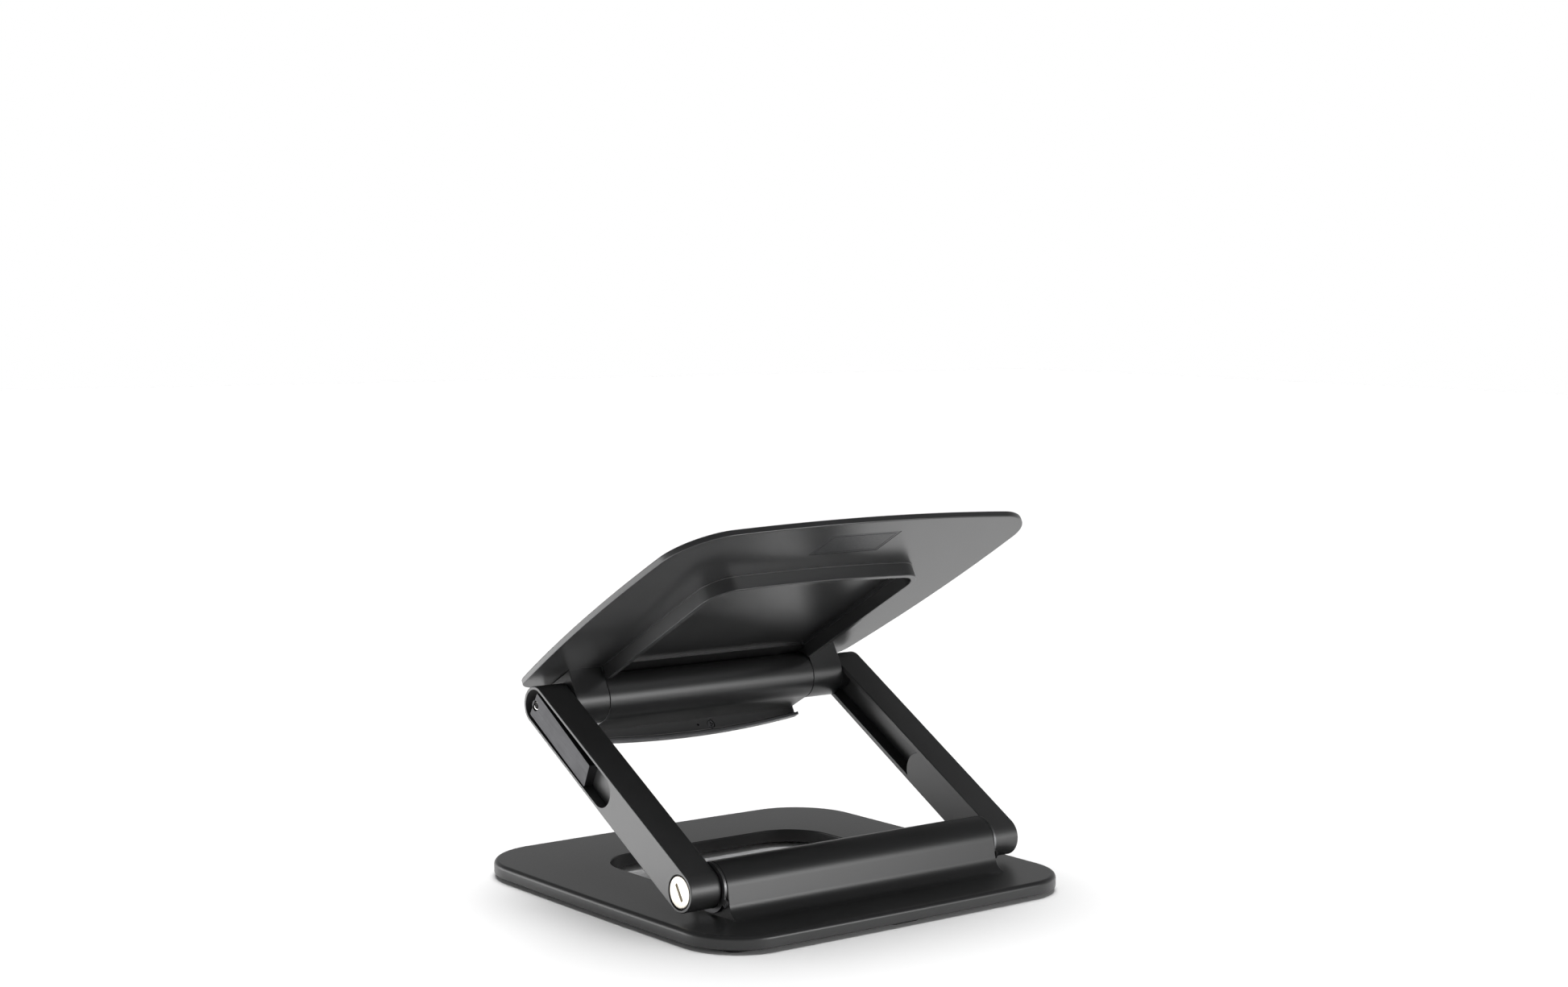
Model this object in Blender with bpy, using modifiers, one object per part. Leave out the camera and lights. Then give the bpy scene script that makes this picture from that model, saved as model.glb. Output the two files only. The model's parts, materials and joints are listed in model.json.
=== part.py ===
"""Folding laptop stand: a flat base, two arms on friction hinges and a tilting tray.

World frame in metres, +Z up. The origin is on the ground below the middle of the base, +X is the
stand's left as a person at its back sees it, and +Y points to the back, where the lower hinge is.
The sizes below are in millimetres, and every helper turns them into metres.
"""

import math

import bmesh
import bpy
from mathutils import Matrix

MM = 0.001
GAP = 0.3

# Base
BASE_HALF_WIDTH = 128.45
BASE_HALF_DEPTH = 124.15
BASE_BOW = 1.5
BASE_BOTTOM = 2.4
BASE_TOP = 9.8
BASE_EDGE_ROUND = 2.5
BASE_FRONT_CORNER = 40.0
BASE_BACK_CORNER = 34.0
OPENING_HALF_WIDTH = 76.6
OPENING_FRONT = -70.5
OPENING_BACK = 42.0
OPENING_CORNER = 28.0
COVER_INSET = 4.0
COVER_BOTTOM = 1.8
COVER_TOP = 3.9
FOOT_SIZE = (24.0, 12.0)
FOOT_TOP = COVER_BOTTOM - GAP
CORNER_FEET = ((102, 107), (98, -106))
MIDDLE_FEET_Y = (112.5, -113)
COVER_SCREW_X = 112
COVER_SCREW_Y = (80, -78)
COVER_SCREW_MIDDLE_Y = (100, -98)

# Lower hinge
LOWER_PIVOT = (70.9, 24.2)
HOUSING_HALF_WIDTH = 96.3
HOUSING_RADIUS = 13.8
HOUSING_BORE = 10.5
HOUSING_END_WALL = 3.3
FLARE_RADIUS = 9.0
FLANK_STEP = 0.9
BOLT_RADIUS = 4.0
BOLT_HEAD_RADIUS = 8.75
BOLT_LENGTH = 45.0
HEAD_SEAT = 2.4
WASHER_THICKNESS = 2.6
NUT_THICKNESS = 4.6
PIVOT_STACK = (8.5, 13.0)  # washer radius and nut width across flats
SLOT_HALF_LENGTH = 5.0
SLOT_HALF_WIDTH = 0.9
SLOT_DEPTH = 1.0
SLOT_ANGLE = math.radians(-28)
STOP_PLATE = (96.6, 97.5)
STOP_PLATE_RADIUS = 13.7
STOP_TIP_RADIUS = 15.0
STOP_TIP_ANGLE = -30
STOP_TIP_HALF_ANGLE = 7
BRACKET = (82.0, 86.0)
BRACKET_FOOT = (74.0, 92.0)
BRACKET_FOOT_DEPTH = 38.6
BRACKET_FOOT_BOTTOM = 4.5
BRACKET_FOOT_TOP = 7.1
BRACKET_SCREW_Y = (55.6, 86.2)

# Arms
ARM_ANGLE = math.radians(29.84)
ARM_LENGTH = 160.0
ARM_RADIUS = 11.0
ARM_INNER = 97.8
ARM_OUTER = 117.2
RECESS_RADIUS = 9.2
RECESS_START = 84.2
RECESS_FLOOR = 110.7
POCKET_HALF_WIDTH = 8.3
POCKET_FLOOR = 106.3
POCKET_START = 14.0
INSERT_TIP = 73.5
INSERT_NOSE = 11.0
LEAF_CORNERS = ((162.2, -7.6), (98.4, -8.9), (100.2, 4.9), (162.2, 7.3))
LEAF_FACE = 116.7
SHAFT_RADIUS = 5.0
PIN_RADIUS = 2.6
SHAFT_SHOULDER = 108.7
SHAFT_END = 64.0
UPPER_STACK = (9.0, 15.0)

# Tray, in its own frame: +Y runs up the slope and +Z is square to the tray, both from the upper pivot
UPPER_PIVOT = (-67.85, 103.8)
TRAY_ANGLE = math.radians(30.27)
LAPTOP_PLANE = 18.7
LAPTOP_FRONT = -15.1
TRAY_TOP = 17.9
TRAY_BOTTOM = 14.2
TRAY_HALF_WIDTH = 127.6
TRAY_FRONT = -10.1
TRAY_BACK = 196.9
TRAY_SIDE_BOW = 9.4
TRAY_WIDEST = 115.0
TRAY_BACK_BOW = 8.5
TRAY_FRONT_BOW = 0.6
TRAY_FRONT_CORNER = 10.0
TRAY_BACK_CORNER = 28.0
LABEL = (-25.0, 24.0, 157.0, 182.0)
PAD = (70.0, 105.0, -3.0, 170.0)
PAD_CORNER = 10.0
PAD_FLOOR = 17.2
FRAME_HALF_WIDTH = 75.5
FRAME_WALL = 3.5
FRAME_FRONT = 15.9
FRAME_BACK = 138.9
FRAME_BACK_BOW = 2.5
FRAME_CORNER = 17.0
FRAME_RIM = 5.7
FLOOR_LEVEL = 15.7
BARREL_RADIUS = 13.85
BARREL_BORE = 10.9
TUBE_HALF_WIDTH = 74.7
LUG = (75.0, 97.5)
LUG_BACK = 13.2

# Front stop, in the tray's frame
STOP_HALF_WIDTH = 75.9
STOP_WALL = (-20.6, -18.1)
STOP_TOP = 27.7
STOP_CORNER = 8.0
STOP_PAD_HALF_WIDTH = 60.0
STOP_PAD_HEIGHT = (18.4, 26.4)
TONGUE = (-13.7, -11.3)
DECK = (14.3, 17.8)
FASCIA_HALF_WIDTH = 78.9
FASCIA = (-22.9, -20.9)
FASCIA_LIP = -17.4
FASCIA_BOTTOM = -23.3
LIP_HEIGHT = 1.8
STOP_ARC_RADIUS = 705.0
FASCIA_SCREW = (-12.2, -18.0)

# Screws: places, then sizes as head radius, head height, shank radius and length
FRAME_SCREW_Y = (78.0,)
LUG_SCREW_X = (81.0, 91.5)
LUG_SCREW_Y = 5.0
TUBE_SCREW_X = (38.0,)
COVER_SCREW = (3.0, 1.0, 1.5, 5.8)
BRACKET_SCREW = (3.0, 1.4, 1.5, 4.6)
TRAY_SCREW = (2.3, 1.2, 1.1, 9.0)
TUBE_SCREW = (2.3, 1.2, 1.1, 6.6)
FASCIA_SCREW_SIZE = (2.5, 1.1, 1.0, 3.9)


def clear_scene():
    for obj in list(bpy.data.objects):
        bpy.data.objects.remove(obj)


def collection(name):
    group = bpy.data.collections.new(name)
    bpy.context.scene.collection.children.link(group)
    return group


def material(name, colour, roughness, metallic=0.0):
    made = bpy.data.materials.new(name)
    made.use_nodes = True
    shader = made.node_tree.nodes["Principled BSDF"]
    shader.inputs["Base Color"].default_value = (*colour, 1)
    shader.inputs["Roughness"].default_value = roughness
    shader.inputs["Metallic"].default_value = metallic
    return made


def axis_frame(name, pivot, angle):
    """An empty on a hinge axis, turned about X by angle."""
    frame = bpy.data.objects.new(name, None)
    frame.location = (0, pivot[0] * MM, pivot[1] * MM)
    frame.rotation_euler = (angle, 0, 0)
    frame.empty_display_size = 0.02
    PARTS.objects.link(frame)
    return frame


def arc(centre, radius, start, end, steps):
    """Points along an arc, with its angles in degrees."""
    angles = [math.radians(start + (end - start) * i / steps) for i in range(steps + 1)]
    return [(centre[0] + radius * math.cos(a), centre[1] + radius * math.sin(a)) for a in angles]


def circle(centre, radius, sides=24):
    return arc(centre, radius, 0, 360, sides)[:-1]


def box(x0, x1, y0, y1):
    return [(x0, y0), (x1, y0), (x1, y1), (x0, y1)]


def rounded_box(x0, x1, y0, y1, radii, steps=6):
    """A rectangle with its corner radii in the order front left, front right, back right, back left."""
    a, b, c, d = radii
    return (
        arc((x0 + a, y0 + a), a, 180, 270, steps)
        + arc((x1 - b, y0 + b), b, 270, 360, steps)
        + arc((x1 - c, y1 - c), c, 0, 90, steps)
        + arc((x0 + d, y1 - d), d, 90, 180, steps)
    )


def divided(loop, longest):
    """The loop with points added on its long straight sides."""
    points = []
    for start, end in zip(loop, loop[1:] + loop[:1]):
        pieces = max(1, math.ceil(math.dist(start, end) / longest))
        for i in range(pieces):
            t = i / pieces
            points.append((start[0] + (end[0] - start[0]) * t, start[1] + (end[1] - start[1]) * t))
    return points


def base_outline(inset=0.0):
    """The base's outline: a rounded rectangle whose four sides swell by BASE_BOW at their middles."""
    w = BASE_HALF_WIDTH - inset
    d = BASE_HALF_DEPTH - inset
    front = BASE_FRONT_CORNER - inset
    back = BASE_BACK_CORNER - inset
    loop = divided(rounded_box(-w, w, -d, d, (front, front, back, back)), 45)
    return [
        (x * (1 - BASE_BOW / w * (y / d) ** 2), y * (1 - BASE_BOW / d * (x / w) ** 2)) for x, y in loop
    ]


def opening_outline(grow=0.0):
    radius = OPENING_CORNER + grow
    half = OPENING_HALF_WIDTH + grow
    return rounded_box(-half, half, OPENING_FRONT - grow, OPENING_BACK + grow, (radius,) * 4)


def tray_outline():
    """The tray's outline, widest behind its middle, with crowned front and back edges."""
    w = TRAY_HALF_WIDTH
    front = TRAY_FRONT_CORNER
    back = TRAY_BACK_CORNER
    loop = divided(rounded_box(-w, w, TRAY_FRONT, TRAY_BACK, (front, front, back, back)), 32)
    half_span = TRAY_WIDEST - TRAY_FRONT
    length = TRAY_BACK - TRAY_FRONT
    points = []
    for x, y in loop:
        narrowing = TRAY_SIDE_BOW / w * ((y - TRAY_WIDEST) / half_span) ** 2
        along = (y - TRAY_FRONT) / length
        bow = TRAY_FRONT_BOW * (1 - along) - TRAY_BACK_BOW * along
        points.append((x * (1 - narrowing), y + bow * (x / w) ** 2))
    return points


def stadium(start, end, radius, steps=11):
    """A slot outline along the arm, in the arm's frame, where the arm runs towards -Y."""
    return arc((-start, 0), radius, -90, 90, steps) + arc((-end, 0), radius, 90, 270, steps)


def stop_arc(middle, half_width, steps=10):
    """The front stop's curved lower edge, from -X to +X."""
    points = []
    for i in range(steps + 1):
        x = half_width * (2 * i / steps - 1)
        rise = STOP_ARC_RADIUS - math.sqrt(STOP_ARC_RADIUS**2 - x**2)
        points.append((x, middle + rise))
    return points


PLANES = {
    "XY": Matrix(((1, 0, 0, 0), (0, 1, 0, 0), (0, 0, 1, 0), (0, 0, 0, 1))),
    "YZ": Matrix(((0, 0, 1, 0), (1, 0, 0, 0), (0, 1, 0, 0), (0, 0, 0, 1))),
    "XZ": Matrix(((1, 0, 0, 0), (0, 0, -1, 0), (0, 1, 0, 0), (0, 0, 0, 1))),
}


def tidy_mesh(mesh):
    """Welds the caps and points the faces out."""
    work = bmesh.new()
    work.from_mesh(mesh)
    bmesh.ops.remove_doubles(work, verts=work.verts, dist=1e-6)
    bmesh.ops.recalc_face_normals(work, faces=work.faces)
    if work.calc_volume(signed=True) < 0:
        bmesh.ops.reverse_faces(work, faces=work.faces)
    work.to_mesh(mesh)
    work.free()


def evaluated_mesh(source):
    """The mesh that a temporary curve or modified object makes. The object is removed."""
    bpy.context.scene.collection.objects.link(source)
    graph = bpy.context.evaluated_depsgraph_get()
    mesh = bpy.data.meshes.new_from_object(source.evaluated_get(graph))
    bpy.data.objects.remove(source)
    return mesh


def prism(plane, loops, low, high):
    """A solid: an outline with holes in a plane, from low to high along the axis square to it."""
    curve = bpy.data.curves.new("outline", "CURVE")
    curve.dimensions = "2D"
    curve.fill_mode = "BOTH"
    curve.extrude = (high - low) / 2 * MM
    for loop in loops:
        spline = curve.splines.new("POLY")
        spline.points.add(len(loop) - 1)
        for point, (x, y) in zip(spline.points, loop):
            point.co = (x * MM, y * MM, 0, 1)
        spline.use_cyclic_u = True
    mesh = evaluated_mesh(bpy.data.objects.new("outline", curve))
    middle = (low + high) / 2 * MM
    shift = {"XY": (0, 0, middle), "YZ": (middle, 0, 0), "XZ": (0, middle, 0)}[plane]
    mesh.transform(Matrix.Translation(shift) @ PLANES[plane])
    tidy_mesh(mesh)
    return mesh


def turned(profile, sides):
    """A solid turned about Z from (radius, height) points that run from the top to the bottom."""
    outline = bpy.data.meshes.new("profile")
    edges = [(i, i + 1) for i in range(len(profile) - 1)]
    outline.from_pydata([(r * MM, 0, z * MM) for r, z in profile], edges, [])
    source = bpy.data.objects.new("turned", outline)
    screw = source.modifiers.new("Screw", "SCREW")
    screw.steps = sides
    screw.render_steps = sides
    screw.use_merge_vertices = True
    screw.merge_threshold = 0.00001
    mesh = evaluated_mesh(source)
    tidy_mesh(mesh)
    return mesh


def grouped(copies):
    """One mesh that holds (mesh, matrix) copies as separate bodies."""
    work = bmesh.new()
    for mesh, matrix in copies:
        part = mesh.copy()
        part.transform(matrix)
        work.from_mesh(part)
        bpy.data.meshes.remove(part)
    mesh = bpy.data.meshes.new("group")
    work.to_mesh(mesh)
    work.free()
    return mesh


AXIS_TURNS = {
    "+X": Matrix.Rotation(math.pi / 2, 4, "Y"),
    "+Y": Matrix.Rotation(-math.pi / 2, 4, "X"),
    "+Z": Matrix.Identity(4),
    "-Z": Matrix.Rotation(math.pi, 4, "X"),
}


def placed(mesh, axis, places):
    """Copies of a turned mesh at places, each with its top pointing along axis."""
    turn = AXIS_TURNS[axis]
    return grouped([(mesh, Matrix.Translation((x * MM, y * MM, z * MM)) @ turn) for x, y, z in places])


def combine(solid, tool, operation):
    """The mesh of a Boolean between two solids in the same frame."""
    target = bpy.data.objects.new("solid", solid)
    helper = bpy.data.objects.new("tool", tool)
    helper.hide_render = True
    bpy.context.scene.collection.objects.link(helper)
    boolean = target.modifiers.new("Boolean", "BOOLEAN")
    boolean.operation = operation
    boolean.object = helper
    mesh = evaluated_mesh(target)
    bpy.data.objects.remove(helper)
    return mesh


def cut(solid, *tools):
    for tool in tools:
        solid = combine(solid, tool, "DIFFERENCE")
    return solid


def join(solid, *tools):
    for tool in tools:
        solid = combine(solid, tool, "UNION")
    return solid


def rounded_top(mesh, width, segments, level):
    """Rounds the outer edge of a plate's top face, which lies at level."""
    work = bmesh.new()
    work.from_mesh(mesh)
    flat = [face for face in work.faces if face.normal.z > 0.9]
    bmesh.ops.dissolve_faces(work, faces=flat)
    edges = [edge for edge in work.edges if min(v.co.z for v in edge.verts) / MM > level - 0.1]
    bmesh.ops.bevel(
        work, geom=edges, offset=width * MM, segments=segments, profile=0.5, affect="EDGES"
    )
    work.to_mesh(mesh)
    work.free()
    return mesh


def simplified(mesh):
    """The mesh with its flat neighbouring faces merged."""
    work = bmesh.new()
    work.from_mesh(mesh)
    bmesh.ops.remove_doubles(work, verts=work.verts, dist=1e-6)
    bmesh.ops.dissolve_limit(work, angle_limit=1e-4, verts=work.verts, edges=work.edges)
    bmesh.ops.triangulate(work, faces=work.faces)
    work.to_mesh(mesh)
    work.free()
    return mesh


def node(name, mesh, look, parent=None):
    """A named part of the stand, in its parent's frame."""
    mesh = simplified(mesh)
    mesh.name = name
    mesh.materials.clear()
    mesh.materials.append(look)
    mesh.shade_smooth()
    mesh.set_sharp_from_angle(angle=math.radians(35))
    obj = bpy.data.objects.new(name, mesh)
    obj.parent = parent
    PARTS.objects.link(obj)


def node_each(name, mesh, axis, places, look, parent=None):
    """A numbered node for each copy of a solid."""
    for number, place in enumerate(places, 1):
        node(f"{name}_{number}", placed(mesh, axis, [place]), look, parent)


def node_pair(name, mesh, look, parent=None):
    """A part of the left side and its mirror image on the right."""
    mirrored = mesh.copy()
    mirrored.transform(Matrix.Scale(-1, 4, (1, 0, 0)))
    mirrored.flip_normals()
    node(f"{name}_left", mesh, look, parent)
    node(f"{name}_right", mirrored, look, parent)


def screw_solid(head_radius, head_height, shank_radius, length, sides=8):
    """A screw whose head's top is at the origin and whose shank runs down -Z."""
    profile = [
        (0, 0),
        (head_radius, 0),
        (head_radius, -head_height),
        (shank_radius, -head_height),
        (shank_radius, -length),
        (0, -length),
    ]
    return turned(profile, sides)


# ---------------------------------------------------------------- base


def housing_profile():
    """The hinge housing's section: a round top over flanks that flare into the base."""
    y, z = LOWER_PIVOT
    flank = HOUSING_RADIUS + FLANK_STEP
    fillet_z = BASE_TOP + FLARE_RADIUS
    back_fillet = arc((y + flank + FLARE_RADIUS, fillet_z), FLARE_RADIUS, 260, 180, 5)
    front_fillet = arc((y - flank - FLARE_RADIUS, fillet_z), FLARE_RADIUS, 360, 280, 5)
    inside = BASE_TOP - 3
    top = arc((y, z), HOUSING_RADIUS, 0, 180, 18)
    return [(back_fillet[0][0], inside)] + back_fillet + top + front_fillet + [(front_fillet[-1][0], inside)]


def mirrored_places(places):
    """The places and their mirror images on the stand's right."""
    return [(side * x, y, z) for x, y, z in places for side in (1, -1)]


def cover_screw_places(z):
    sides = mirrored_places([(COVER_SCREW_X, y, z) for y in COVER_SCREW_Y])
    return sides + [(0, y, z) for y in COVER_SCREW_MIDDLE_Y]


def bracket_screw_places(z):
    middle = (BRACKET_FOOT[0] + BRACKET_FOOT[1]) / 2
    return [(middle, y, z) for y in BRACKET_SCREW_Y]


def bracket_foot(grow, low, high):
    x0, x1 = BRACKET_FOOT
    y = LOWER_PIVOT[0]
    half = BRACKET_FOOT_DEPTH / 2 + grow
    return prism("XY", [box(x0 - grow, x1 + grow, y - half, y + half)], low, high)


def make_base_plate():
    plate = prism("XY", [base_outline()], BASE_BOTTOM, BASE_TOP)
    plate = rounded_top(plate, BASE_EDGE_ROUND, 3, BASE_TOP)
    half = HOUSING_HALF_WIDTH
    plate = join(plate, prism("YZ", [housing_profile()], -half, half))
    y = LOWER_PIVOT[0]
    hollow = [(y - HOUSING_BORE, 0), (y + HOUSING_BORE, 0)] + arc(LOWER_PIVOT, HOUSING_BORE, 0, 180, 12)
    inside = half - HOUSING_END_WALL
    pocket = [base_outline(COVER_INSET - GAP), opening_outline(COVER_INSET - GAP)]
    bore = circle(LOWER_PIVOT, BOLT_RADIUS + 2 * GAP, 16)
    plate = cut(
        plate,
        prism("YZ", [hollow], -inside, inside),
        prism("XY", [opening_outline()], 0, BASE_TOP + 10),
        prism("XY", pocket, 0, COVER_TOP + GAP),
        prism("YZ", [bore], -half - 10, half + 10),
    )
    foot_hole = bracket_foot(GAP, 1, BRACKET_FOOT_TOP + GAP)
    right_foot_hole = foot_hole.copy()
    right_foot_hole.transform(Matrix.Scale(-1, 4, (1, 0, 0)))
    right_foot_hole.flip_normals()
    screw_hole = screw_solid(1.9, 1, 1.8, 7.0)
    screws = cover_screw_places(1.5) + mirrored_places(bracket_screw_places(BRACKET_FOOT_BOTTOM))
    plate = cut(plate, foot_hole, right_foot_hole, placed(screw_hole, "-Z", screws))
    node("base_plate", plate, POWDER_COAT)


def make_base_cover():
    """The bottom cover, its rubber feet and its screws."""
    loops = [base_outline(COVER_INSET), opening_outline(COVER_INSET)]
    cover = prism("XY", loops, COVER_BOTTOM, COVER_TOP)
    holes = placed(screw_solid(3.3, 1.5, 1.8, 6.0), "-Z", cover_screw_places(COVER_BOTTOM - 0.1))
    node("base_cover", cut(cover, holes), BLACK_PLASTIC)
    screw = screw_solid(*COVER_SCREW)
    node_each("cover_screw", screw, "-Z", cover_screw_places(COVER_BOTTOM + 0.1), DARK_STEEL)
    half_x, half_y = FOOT_SIZE[0] / 2, FOOT_SIZE[1] / 2
    pad = prism("XY", [rounded_box(-half_x, half_x, -half_y, half_y, (half_y,) * 4, 3)], 0, FOOT_TOP)
    feet = mirrored_places([(x, y, 0) for x, y in CORNER_FEET]) + [(0, y, 0) for y in MIDDLE_FEET_Y]
    node_each("base_foot", pad, "+Z", feet, RUBBER)


def make_hinge_brackets():
    """Steel brackets inside the housing: a screwed foot and an upright that carries the bolt."""
    bracket = bracket_foot(0, BRACKET_FOOT_BOTTOM, BRACKET_FOOT_TOP)
    y = LOWER_PIVOT[0]
    reach = HOUSING_BORE - 1.9
    upright = [(y - reach, BRACKET_FOOT_BOTTOM + 1), (y + reach, BRACKET_FOOT_BOTTOM + 1)]
    upright += arc(LOWER_PIVOT, reach, 0, 180, 10)
    bracket = join(bracket, prism("YZ", [upright], *BRACKET))
    bore = circle(LOWER_PIVOT, BOLT_RADIUS + GAP, 16)
    screw_hole = screw_solid(3.3, 1.8, 1.8, 6.0)
    places = bracket_screw_places(BRACKET_FOOT_BOTTOM - 0.1)
    bracket = cut(bracket, prism("YZ", [bore], 70, 100), placed(screw_hole, "-Z", places))
    node_pair("hinge_bracket", bracket, DARK_STEEL)
    screw = screw_solid(*BRACKET_SCREW)
    places = mirrored_places(bracket_screw_places(BRACKET_FOOT_BOTTOM + 0.1))
    node_each("bracket_screw", screw, "-Z", places, DARK_STEEL)


def make_stop_plates():
    """Thin steel plates between arm and housing, with a square stop tip at their lower back."""
    tip = STOP_TIP_ANGLE
    half_tip = STOP_TIP_HALF_ANGLE
    loop = arc(LOWER_PIVOT, STOP_PLATE_RADIUS, tip + half_tip, tip + 360 - half_tip, 24)
    loop += arc(LOWER_PIVOT, STOP_TIP_RADIUS, tip - half_tip, tip + half_tip, 1)
    bore = circle(LOWER_PIVOT, BOLT_RADIUS + 2 * GAP, 16)
    node_pair("hinge_stop_plate", prism("YZ", [loop, bore], *STOP_PLATE), DARK_STEEL)


# ---------------------------------------------------------------- arms


def pocket_outline():
    """The pocket in an arm's inner face: straight sides and a round boss at the upper end."""
    half = POCKET_HALF_WIDTH
    half_turn = math.degrees(math.asin(half / ARM_RADIUS))
    boss = arc((-ARM_LENGTH, 0), ARM_RADIUS, half_turn, -half_turn, 8)
    return [(-POCKET_START, half)] + boss + [(-POCKET_START, -half)]


def insert_outline():
    """The block in the pocket's lower half, with a rounded upper end."""
    half = POCKET_HALF_WIDTH - GAP
    half_turn = math.degrees(math.asin(half / INSERT_NOSE))
    nose = arc((INSERT_NOSE - INSERT_TIP, 0), INSERT_NOSE, 180 - half_turn, 180 + half_turn, 8)
    start = -(POCKET_START + GAP)
    return [(start, -half), (start, half)] + nose


def make_arms():
    pivot = (0, 0)
    upper = (-ARM_LENGTH, 0)
    through = (ARM_INNER - 5, ARM_OUTER + 1)
    arm = prism("YZ", [stadium(0, ARM_LENGTH, ARM_RADIUS, 14)], ARM_INNER, ARM_OUTER)
    recess = stadium(RECESS_START, ARM_LENGTH, RECESS_RADIUS)
    arm = cut(
        arm,
        prism("YZ", [recess], RECESS_FLOOR, ARM_OUTER + 1),
        prism("YZ", [pocket_outline()], ARM_INNER - 1, POCKET_FLOOR),
        prism("YZ", [circle(pivot, BOLT_HEAD_RADIUS + 1, 28)], ARM_OUTER - HEAD_SEAT, ARM_OUTER + 1),
        prism("YZ", [circle(pivot, BOLT_RADIUS + GAP, 16)], *through),
        prism("YZ", [circle(upper, PIN_RADIUS + GAP, 12)], *through),
        prism("YZ", [circle(upper, SHAFT_RADIUS + GAP, 16)], through[0], SHAFT_SHOULDER + GAP),
    )
    node_pair("arm", arm, POWDER_COAT, ARM_FRAME)
    insert = prism("YZ", [insert_outline()], ARM_INNER, POCKET_FLOOR - GAP)
    node_pair("arm_insert", insert, POWDER_COAT, ARM_FRAME)


def make_pivot_bolts():
    """The lower hinge's bolts: a slotted head flush with the arm's outer face and a long shank."""
    bolt = screw_solid(BOLT_HEAD_RADIUS, HEAD_SEAT - 0.4, BOLT_RADIUS, BOLT_LENGTH, 24)
    bolt = placed(bolt, "+X", [(ARM_OUTER, 0, 0)])
    slot_face = box(-SLOT_HALF_LENGTH, SLOT_HALF_LENGTH, -SLOT_HALF_WIDTH, SLOT_HALF_WIDTH)
    slot = prism("YZ", [slot_face], ARM_OUTER - SLOT_DEPTH, ARM_OUTER + 1)
    slot.transform(Matrix.Rotation(SLOT_ANGLE, 4, "X"))
    node_pair("pivot_bolt", cut(bolt, slot), NICKEL, ARM_FRAME)


def hinge_stack(name, centre, bore_radius, washer_radius, across_flats, end):
    """The friction washer and the nut on a hinge's shaft, stacked inwards from end."""
    bore = circle(centre, bore_radius, 16)
    washer = prism("YZ", [circle(centre, washer_radius, 20), bore], end - WASHER_THICKNESS, end)
    node_pair(f"{name}_washer", washer, STEEL, ARM_FRAME)
    top = end - WASHER_THICKNESS - GAP
    hexagon = circle(centre, across_flats / math.sqrt(3), 6)
    nut = prism("YZ", [hexagon, bore], top - NUT_THICKNESS, top)
    node_pair(f"{name}_nut", nut, DARK_STEEL, ARM_FRAME)


def make_hinge_leaves():
    """The flat steel leaves in the arms' outer recesses, riveted to the upper shafts."""
    outline = [(-along, across) for along, across in LEAF_CORNERS]
    loops = [outline, circle((-ARM_LENGTH, 0), PIN_RADIUS + GAP, 12)]
    node_pair("hinge_leaf", prism("YZ", loops, RECESS_FLOOR + GAP, LEAF_FACE), LEAF_STEEL, ARM_FRAME)


def make_upper_shafts():
    """The shafts fixed in the arms: a thin riveted end in the leaf and a thick end in the barrel."""
    outer_end = LEAF_FACE - GAP
    profile = [
        (0, 0),
        (PIN_RADIUS, 0),
        (PIN_RADIUS, SHAFT_SHOULDER - outer_end),
        (SHAFT_RADIUS, SHAFT_SHOULDER - outer_end),
        (SHAFT_RADIUS, SHAFT_END - outer_end),
        (0, SHAFT_END - outer_end),
    ]
    shaft = placed(turned(profile, 16), "+X", [(outer_end, -ARM_LENGTH, 0)])
    node_pair("upper_shaft", shaft, STEEL, ARM_FRAME)


# ---------------------------------------------------------------- tray


def frame_screw_places(z):
    wall_x = FRAME_HALF_WIDTH - FRAME_WALL / 2
    return mirrored_places([(wall_x, y, z) for y in FRAME_SCREW_Y])


def lug_screw_places(z):
    return [(x, LUG_SCREW_Y, z) for x in LUG_SCREW_X]


def tube_screw_places(z):
    return mirrored_places([(x, 0, z) for x in TUBE_SCREW_X])


def make_tray_plate():
    plate = prism("XY", [tray_outline()], TRAY_BOTTOM, TRAY_TOP)
    inside = FRAME_HALF_WIDTH - FRAME_WALL
    back = FRAME_BACK - FRAME_WALL - FRAME_BACK_BOW
    corner = FRAME_CORNER - FRAME_WALL
    floor = rounded_box(-inside, inside, FRAME_FRONT, back, (1, 1, corner, corner), 4)
    x0, x1, y0, y1 = PAD
    seats = []
    for low, high in ((x0 - GAP, x1 + GAP), (-x1 - GAP, -x0 + GAP)):
        seat = rounded_box(low, high, y0 - GAP, y1 + GAP, (PAD_CORNER + GAP,) * 4, 4)
        seats.append(prism("XY", [seat], PAD_FLOOR, TRAY_TOP + 3))
    hole = screw_solid(2.7, 1.7, 1.4, 12)
    hidden = PAD_FLOOR + 0.1
    under_pads = frame_screw_places(hidden) + mirrored_places(lug_screw_places(hidden))
    plate = cut(
        plate,
        prism("XY", [floor], TRAY_BOTTOM - 5, FLOOR_LEVEL),
        prism("XY", [box(*LABEL)], TRAY_BOTTOM - 5, TRAY_BOTTOM + 0.8),
        *seats,
        placed(hole, "+Z", under_pads),
        placed(hole, "+Z", tube_screw_places(TRAY_TOP + 0.1)),
    )
    node("tray_plate", plate, POWDER_COAT, TRAY_FRAME)


def make_tray_screws():
    screw = screw_solid(*TRAY_SCREW)
    hidden = PAD_FLOOR - 0.1
    lug_screws = mirrored_places(lug_screw_places(hidden))
    node_each("frame_screw", screw, "+Z", frame_screw_places(hidden), DARK_STEEL, TRAY_FRAME)
    node_each("lug_screw", screw, "+Z", lug_screws, DARK_STEEL, TRAY_FRAME)
    screw = screw_solid(*TUBE_SCREW)
    node_each("tube_screw", screw, "+Z", tube_screw_places(TRAY_TOP - 0.1), DARK_STEEL, TRAY_FRAME)


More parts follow.
